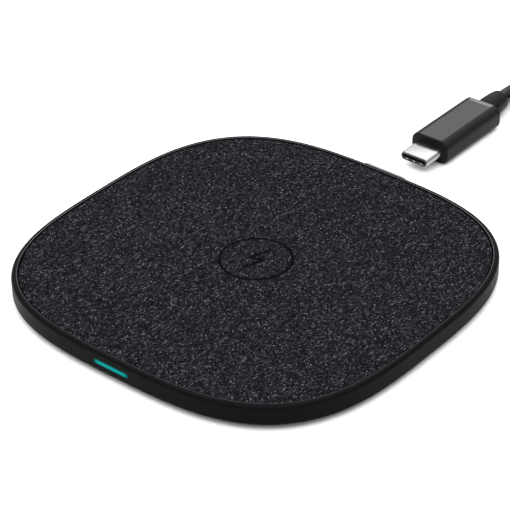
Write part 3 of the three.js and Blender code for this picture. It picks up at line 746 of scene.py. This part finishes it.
def rim():
    """The frame round the pad: turned-in lower edge, straight side, rounded top edge and a fine lip."""
    lip, wall = 1.25 * MM, 1.6 * MM
    belly = bend((0.75 * MM, RIM_BOTTOM + 0.9 * MM), (0.75 * MM, 0.9 * MM), 3, 2, 8)
    side = [(0.0, RIM_BOTTOM + 1.8 * MM), (0.0, PAD_TOP - 1.6 * MM)]
    top = bend((0.95 * MM, PAD_TOP - 0.95 * MM), 0.95 * MM, 2, 1, 10)
    ease = 0.16 * MM
    fillet = bend((lip - ease, PAD_TOP - ease), ease, 1, 0, 4)
    shelf = plate_high.z - 0.8 * MM
    inner = [
        (lip, shelf),
        (lip + 1.55 * MM, shelf),
        (lip + 1.55 * MM, shelf - 0.4 * MM),
        (wall, shelf - 0.7 * MM),
        (wall, RIM_BOTTOM + 0.1 * MM),
        (wall - 0.1 * MM, RIM_BOTTOM),
    ]
    made = finished("rim", skin([*belly, *side, *top, *fillet, *inner], around_pad, 240, closed=True))
    cut_away(made, light_slot(), port_opening(), bezel_seat(), shelf_gap(1), shelf_gap(-1))
    # Marks the lip's inward, upward faces at the top, which get the painted highlight.
    lip_highlight_marks = made.data.attributes.new("lip", "FLOAT", "FACE")
    for face, mark in zip(made.data.polygons, lip_highlight_marks.data):
        inwards = face.normal.xy.dot(face.center.xy) < 0
        mark.value = 1.0 if inwards and face.normal.z > 0.1 and face.center.z > PAD_TOP - ease else 0.0
    return dress(made, "pad", "rim_plastic", finishes["rim_plastic"], "rim_frame")


def light_slot():
    room = 0.05 * MM
    size = (BAR_WIDTH + 2 * room, BAR_HEIGHT + 2 * room, BAR_HEIGHT / 2)
    levels = [(*size, -PAD_HALF - 2 * MM), (*size, -PAD_HALF + 3 * MM)]
    return finished("light_slot", skin(levels, along_y(0, BAR_AXIS), 48))


def port_opening():
    shell_low, shell_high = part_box("port_shell")
    width, height = shell_high.x - shell_low.x + 0.3 * MM, shell_high.z - shell_low.z + 0.3 * MM
    levels = [(width, height, height / 2 - 0.1 * MM, PAD_HALF + offset) for offset in (-4 * MM, 3 * MM)]
    return finished("port_opening", skin(levels, along_y(0, PLUG_AXIS), 48))


def bezel_seat():
    """The shallow flat that the bezel lies in, open at the top."""
    width = bezel_high.x - bezel_low.x + 0.1 * MM
    low, high = bezel_low.z - 0.05 * MM, PAD_TOP + 2 * MM
    size = (width, high - low, 1.0 * MM)
    levels = [(*size, bezel_low.y - 0.05 * MM), (*size, PAD_HALF + 3 * MM)]
    return finished("bezel_seat", skin(levels, along_y(0, (low + high) / 2), 32))


def shelf_gap(side):
    """Room in the shelf for the port, or for the light guide's flange on the other side."""
    width = 9.4 * MM if side > 0 else 12.6 * MM
    levels = [(width, 2 * MM, 0.1 * MM, side * (PAD_HALF - inset)) for inset in (3.6 * MM, 1.6 * MM)]
    return finished("shelf_gap", skin(levels, along_y(0, plate_high.z - 1.8 * MM), 16))


SYMBOL_RING = 8.56 * MM
SYMBOL_DEPTH = 0.17 * MM
SYMBOL_LINE = 0.32 * MM
BOLT = [Vector((x * MM, y * MM)) for x, y in ((0.3, 4.4), (-1.75, -0.6), (1.75, 0.6), (-0.3, -4.4))]


def on_cloth(angle, level):
    """A point of the cloth, for a level of (radius on the axes, height). The middle is round, and the
    outline takes over further out."""
    radius, z = level
    round_to, spread = 12 * MM, 24 * MM
    share = min(1, max(0, (radius - round_to) / spread))
    r = radius * powers(angle) ** (-share / SQUARENESS)
    return Vector((r * math.cos(angle), r * math.sin(angle), z))


def cloth():
    """The cloth, drawn over the plate's edge, with a ring and bolt pressed into its middle."""
    edge = fabric_high.x
    roll = 0.28 * MM
    skirt = plate_high.z - 0.5 * MM
    fold = edge - 0.07 * MM
    under = plate_high.z + 0.01 * MM
    fine = [0.2 + 0.11 * i for i in range(50)] + [5.9, 6.4, 6.9, 7.4, 7.8]
    fine += [7.95 + 0.09 * i for i in range(14)]
    wide = [9.4, 10, 11, 12, 14, 16, 19, 22, 26, 30, 34, 38, 42, 45]
    top = [(radius * MM, FABRIC_TOP) for radius in fine + wide]
    top += reversed([(edge - inset, z) for inset, z in bend((roll, FABRIC_TOP - roll), roll, 2, 1, 6)])
    hem = [(edge, skirt), (fold, skirt), (fold, under - 0.03 * MM), (fold - 0.02 * MM, under)]
    below = [(radius * MM, under) for radius in (44, 36, 28, 20, 12, 5, 0.2)]
    made = finished("cloth_top", skin([*top, *hem, *below], on_cloth, 240))
    press_symbol(made.data)
    return dress(made, "pad", "fabric", finishes["fabric"], "fabric_cover")


def press_symbol(mesh):
    """Sinks the ring and the bolt into the top of the cloth, and marks how deep each point went."""
    pressed = mesh.attributes.new("pressed", "FLOAT", "POINT")
    for vertex, mark in zip(mesh.vertices, pressed.data):
        if vertex.co.z > FABRIC_TOP - 0.01 * MM and vertex.co.xy.length < 1.2 * SYMBOL_RING:
            share = math.exp(-((symbol_distance(vertex.co.xy) / SYMBOL_LINE) ** 4))
            vertex.co.z -= SYMBOL_DEPTH * share
            mark.value = share


def symbol_distance(at):
    """How far a point of the top is from the nearest line of the symbol. The bolt's lines are wider."""
    nearest = abs(at.length - SYMBOL_RING)
    for a, b in zip(BOLT, BOLT[1:]):
        share = min(1, max(0, (at - a).dot(b - a) / (b - a).length_squared))
        nearest = min(nearest, (at - a - (b - a) * share).length * 0.78)
    return nearest


def light_bar():
    """The light guide's bar, a hair proud of the rim, with its flange behind the wall."""
    front = -PAD_HALF - 0.02 * MM
    radius = BAR_HEIGHT / 2 - 0.02 * MM
    levels = soft_ends(BAR_WIDTH, BAR_HEIGHT, radius, front, -PAD_HALF + 1.7 * MM, 0.12 * MM)
    flange = (guide_high.x - guide_low.x, 1.7 * MM, 0.3 * MM)
    levels += [(*flange, -PAD_HALF + 1.7 * MM), (*flange, guide_high.y)]
    made = finished("light_bar", skin(levels, along_y(0, BAR_AXIS), 48))
    return dress(made, "pad", "diffuser", finishes["diffuser"], "led_light_guide")


def bezel():
    """The frame round the port, with eased edges and a mouth that funnels the plug in."""
    width, height = bezel_high.x - bezel_low.x, bezel_high.z - bezel_low.z
    shift = (bezel_low.z + bezel_high.z) / 2
    front, rear = bezel_low.y, bezel_high.y
    ease = 0.18 * MM
    hole_w, hole_h = 8.95 * MM, 3.1 * MM
    drop = PLUG_AXIS - shift

    def put(angle, level):
        w, h, r, y, share = level
        point = along_y(0, shift)(angle, (w, h, r, y))
        proud = max(0, y - PAD_HALF)
        swell = 0.75 * (abs(point.x) / (width / 2)) ** 2.2
        return point + Vector((0, -proud * swell, drop * share))

    levels = [
        (width, height, 1.2 * MM, front, 0),
        (width, height, 1.2 * MM, rear - ease, 0),
        (width - 0.1 * MM, height - 0.1 * MM, 1.15 * MM, rear - ease * 0.3, 0),
        (width - 2 * ease, height - 2 * ease, 1.05 * MM, rear, 0),
        (hole_w + 0.5 * MM, hole_h + 0.5 * MM, hole_h / 2 + 0.2 * MM, rear, 1),
        (hole_w, hole_h, hole_h / 2 - 0.05 * MM, rear - 0.3 * MM, 1),
        (hole_w, hole_h, hole_h / 2 - 0.05 * MM, front, 1),
    ]
    made = finished("port_surround", skin(levels, put, 64, closed=True))
    return dress(made, "pad", "bezel", finishes["bezel"], "port_bezel")


rim()
top_cloth = cloth()
light_bar()
bezel()

# ---------------------------------------------------------------- USB-C plug


def hollow(width, height, radius, wall, y0, y1, lip):
    """Levels of a tube of sheet metal, open at its y0 end, where its edge is rounded by lip."""
    inner = (width - 2 * wall, height - 2 * wall, max(radius - wall, 0.05 * MM))
    middle = (width - wall, height - wall, radius - wall / 2)
    return [
        (width, height, radius, y1),
        (width, height, radius, y0 + 2 * lip),
        (width - 0.6 * lip, height - 0.6 * lip, radius - 0.3 * lip, y0 + 0.6 * lip),
        (*middle, y0),
        (inner[0] + 0.4 * lip, inner[1] + 0.4 * lip, inner[2] + 0.2 * lip, y0 + 0.4 * lip),
        (*inner, y0 + 1.4 * lip),
        (*inner, y1),
    ]


def usb_c_shell():
    width, height = plug_high.x - plug_low.x, plug_high.z - plug_low.z
    levels = hollow(width, height, height / 2 - 0.02 * MM, 0.3 * MM, plug_low.y, plug_high.y, 0.12 * MM)
    made = finished("plug_shell", skin(levels, along_y(0, PLUG_AXIS), 64, closed=True))
    return dress(made, "cable", "steel", finishes["steel"], "usb_c_shell")


def usb_c_contacts():
    """Two rows of sprung contacts inside the plug's mouth."""
    bm = bmesh.new()
    start, length = plug_low.y + 1.1 * MM, 3.4 * MM
    pitch, apart = 0.5, 0.42
    for row in (-1, 1):
        for column in range(12):
            x = (column - 5.5) * pitch * MM
            z = PLUG_AXIS + row * apart * MM
            block(bm, (0.24 * MM, length, 0.06 * MM), (x, start + length / 2, z))
    made = finished("plug_contacts", bm)
    return dress(made, "cable", "steel", finishes["contact"])


def usb_c_springs():
    """Three earthing springs that show as bright tips low in the plug's mouth."""
    bm = bmesh.new()
    y, z = plug_low.y + 0.1 * MM, PLUG_AXIS - 0.56 * MM
    for column in (-1, 0, 1):
        block(bm, (0.75 * MM, 0.12 * MM, 0.3 * MM), (column * 2.2 * MM, y, z))
    edges = bm.edges[:]
    bmesh.ops.bevel(bm, geom=edges, offset=0.04 * MM, segments=2, affect="EDGES", profile=0.5, material=-1)
    made = finished("plug_springs", bm)
    return dress(made, "cable", "steel", finishes["steel"])


def plug_body(name, low, high, radius):
    """A moulded plug body: a crisp front edge, a flat top and underside, and a bevel at the rear."""
    width, height = high.x - low.x, high.z - low.z
    round_over = 0.45 * MM
    levels = []
    for i in range(5):
        a = QUARTER * i / 4
        shrink = round_over * (1 - math.sin(a))
        y = low.y + round_over * (1 - math.cos(a))
        levels.append((width - 2 * shrink, height - 2 * shrink, radius - shrink, y))
    bevel_back, bevel_end = 1.9, 0.5
    rear = (
        (0, 0, bevel_back),
        (0.02, 0.1, bevel_end),
        (0.5, 0.7, 0.2),
        (1.2, 1.5, 0.06),
        (1.8, 2.1, 0),
    )
    for narrow, thin, back in rear:
        corner = radius - min(narrow, thin) / 2 * MM
        levels.append((width - narrow * MM, height - thin * MM, corner, high.y - back * MM))
    cx, cz = (low.x + high.x) / 2, (low.z + high.z) / 2
    made = finished(name, skin(levels, along_y(cx, cz), 96), 20)
    # Facet marks where light is painted: 1 on the flat top and underside, and 2 on the middle of the rear
    # bevel, for a painted reflection.
    facet = made.data.attributes.new("facet", "FLOAT", "FACE")
    for face, mark in zip(made.data.polygons, facet.data):
        if abs(face.normal.z) > 0.9999:
            mark.value = 1.0
        elif abs(face.normal.z) > 0.9 and high.y - bevel_back * MM < face.center.y < high.y - bevel_end * MM:
            mark.value = 2.0 if abs(face.normal.x) < 0.01 else 0.0
    return made


def usb_c_body():
    made = plug_body("plug_body", body_low, body_high, 2.3 * MM)
    return dress(made, "cable", "overmould", finishes["overmould"], "usb_c_overmould")


def round_levels(profile, direction, start):
    """Levels of a turned piece along Y from (radius, distance) pairs."""
    return [(2 * r, 2 * r, r, start + direction * d) for r, d in profile]


def strain_relief(name, cx, cz, start, direction, node):
    """A short sleeve that narrows to a rounded end round the cord."""
    r, tip, length = 3.0 * MM, 2.3 * MM, 8 * MM
    profile = [(r - 0.1 * MM, 0), (r, 0.15 * MM), (r, length * 0.55), (r - 0.12 * MM, length * 0.8)]
    shoulder = r - 0.2 * MM
    for i in range(5):
        a = QUARTER * i / 4
        profile.append((tip + (shoulder - tip) * math.cos(a), length * (0.88 + 0.12 * math.sin(a))))
    levels = round_levels(profile, direction, start)
    made = finished(name, skin(levels, along_y(cx, cz), 40))
    return dress(made, "cable", "overmould", finishes["overmould"], node)


usb_c_shell()
usb_c_contacts()
usb_c_springs()
usb_c_body()
strain_relief("plug_collar", 0, PLUG_AXIS, collar_low.y, 1, "usb_c_collar")

# ---------------------------------------------------------------- USB-A plug

USB_A_X = (usb_a_low.x + usb_a_high.x) / 2
USB_A_AXIS = (usb_a_low.z + usb_a_high.z) / 2


def usb_a_shell():
    width, height = usb_a_high.x - usb_a_low.x, usb_a_high.z - usb_a_low.z
    levels = hollow(width, height, 0.45 * MM, 0.32 * MM, usb_a_low.y, usb_a_high.y, 0.12 * MM)
    made = finished("usb_a_metal", skin(levels, along_y(USB_A_X, USB_A_AXIS), 48, closed=True))
    windows = [latch_window(side * 2.9 * MM) for side in (-1, 1)]
    cut_away(made, *windows)
    return dress(made, "cable", "steel", finishes["steel"], "usb_a_shell")


def latch_window(x):
    """A square hole through the shell's top."""
    z = usb_a_high.z - 0.2 * MM
    levels = [(2.3 * MM, 1.2 * MM, 0.1 * MM, usb_a_low.y + d) for d in (5.4 * MM, 7.6 * MM)]
    return finished("latch_window", skin(levels, along_y(USB_A_X + x, z), 16))


def usb_a_contacts():
    """Four contacts on the tongue. The outer two are longer."""
    bm = bmesh.new()
    tongue_high = USB_A_AXIS - 0.25 * MM
    for column, length in ((-3, 7.5), (-1, 6.5), (1, 6.5), (3, 7.5)):
        x, y = USB_A_X + column * 1.1 * MM, usb_a_low.y + 1.6 * MM + length * MM / 2
        block(bm, (1.1 * MM, length * MM, 0.12 * MM), (x, y, tongue_high + 0.05 * MM))
    made = finished("usb_a_contacts", bm)
    return dress(made, "cable", "steel", finishes["contact"])


def usb_a_body():
    made = plug_body("usb_a_body", usb_a_body_low, usb_a_body_high, 2.2 * MM)
    return dress(made, "cable", "overmould", finishes["overmould"], "usb_a_overmould")


usb_a_shell()
usb_a_contacts()
usb_a_body()
strain_relief("usb_a_sleeve", USB_A_X, USB_A_AXIS, usb_a_collar_high.y, -1, "usb_a_collar")

# ---------------------------------------------------------------- floor and light


def floor():
    bm = bmesh.new()
    bmesh.ops.create_grid(bm, x_segments=1, y_segments=1, size=6)
    bmesh.ops.translate(bm, verts=bm.verts, vec=(0, 0, -0.02 * MM))
    made = finished("floor", bm)
    look = Look("pale_floor")
    cloud = look.noise(look.place()[0], 3, 2)
    base = look.ramp(cloud, (0.0, (0.88, 0.88, 0.885)), (1.0, (0.92, 0.92, 0.92)))
    shader = look.surface(base_color=base, roughness=0.7, specular_ior_level=0.1)
    made.data.materials.append(look.done(shader))


def softbox(name, place, target, size, power):
    data = bpy.data.lights.new(name, "AREA")
    data.shape = "RECTANGLE"
    data.size, data.size_y = size
    data.energy = power
    made = bpy.data.objects.new(name, data)
    bpy.context.scene.collection.objects.link(made)
    made.location = place
    made.rotation_mode = "QUATERNION"
    made.rotation_quaternion = (Vector(target) - Vector(place)).to_track_quat("-Z", "Y")
    return made


def studio():
    """A soft surround, brightest overhead, with a broad lamp above and a panel behind that only
    the gloss catches."""
    world = bpy.data.worlds.new("studio")
    bpy.context.scene.world = world
    look = Look("studio", world)
    way = look.node("ShaderNodeTexCoord", {}, {}, "Generated")
    height = look.node("ShaderNodeSeparateXYZ", {}, {"Vector": way}, "Z")
    strength = 0.42 + height.step(0.1, 0.8) * 1.1
    sky = look.node("ShaderNodeBackground", {}, {"Color": (1, 1, 1, 1), "Strength": strength})
    look.done(sky, "ShaderNodeOutputWorld")
    softbox("overhead", (-0.10, 0.05, 1.1), (0, 0, 0), size=(2.2, 2.2), power=24)
    gloss = softbox("behind", (-0.70, 0.84, 0.68), (0, 0, 0), size=(1.2, 0.7), power=1.5)
    gloss.visible_diffuse = False
    bpy.context.scene.view_settings.view_transform = "Standard"


floor()
studio()
